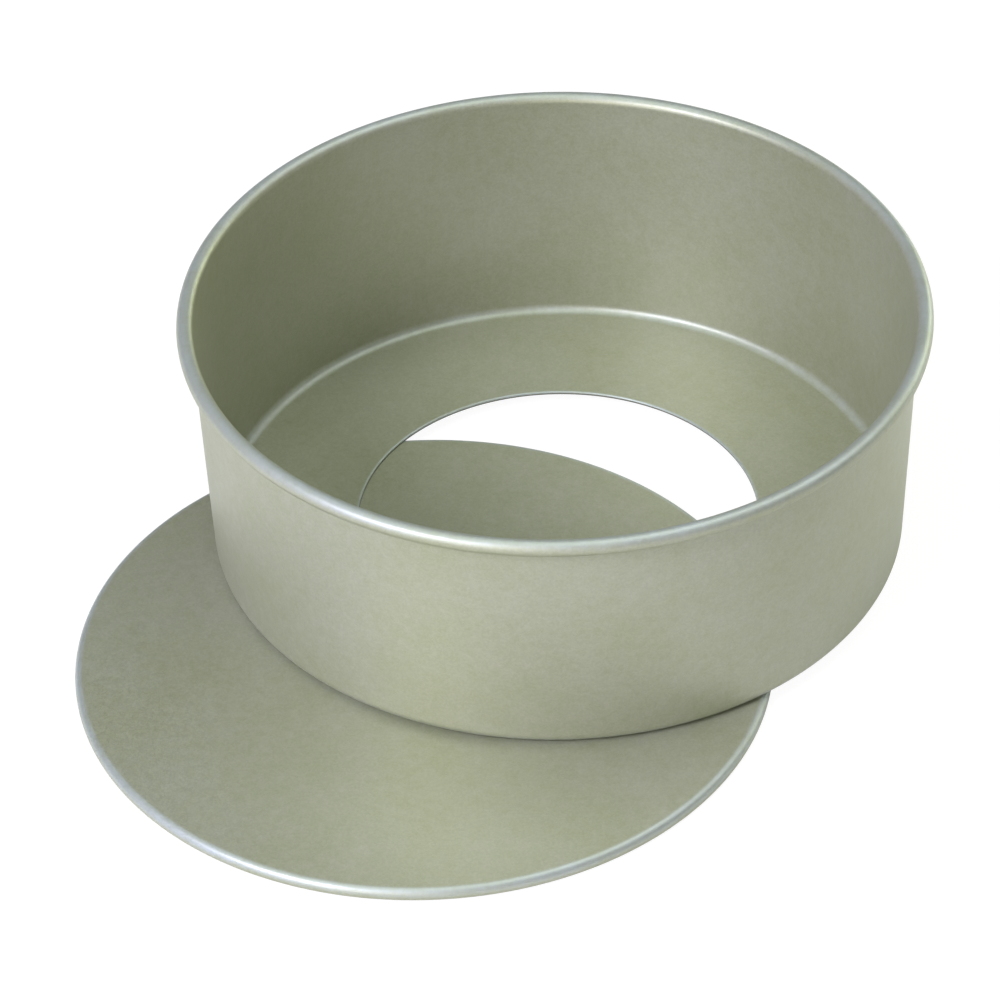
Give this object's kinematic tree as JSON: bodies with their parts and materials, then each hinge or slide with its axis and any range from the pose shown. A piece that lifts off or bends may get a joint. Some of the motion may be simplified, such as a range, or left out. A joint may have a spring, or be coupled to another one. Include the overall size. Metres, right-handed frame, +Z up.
{
  "type": "round cake pan",
  "caption": "Deep round loose-bottom cake pan: pressed body with rolled rim and a wide hole in its floor, standing on its loose round base.",
  "frame": {"origin": "middle of the bounding box of the whole set, at the level of the table that the base lies on", "axes": "+Z up, along the axes of both round pieces; +Y away from the viewer; +X to the viewer's right"},
  "size_m": [0.2152, 0.2339, 0.0715],
  "materials": {
    "coated_sheet": "satin pale olive-champagne metallic non-stick coating with a fine mottled grain"
  },
  "bodies": {
    "base": {"loose_base": "coated_sheet"},
    "body": {"pan_body": "coated_sheet"}
  },
  "joints": [
    {"name": "lift", "type": "slide", "parent": "base", "child": "body", "axis": [0, 0, 1], "range_m": [0, 0.1]}
  ]
}
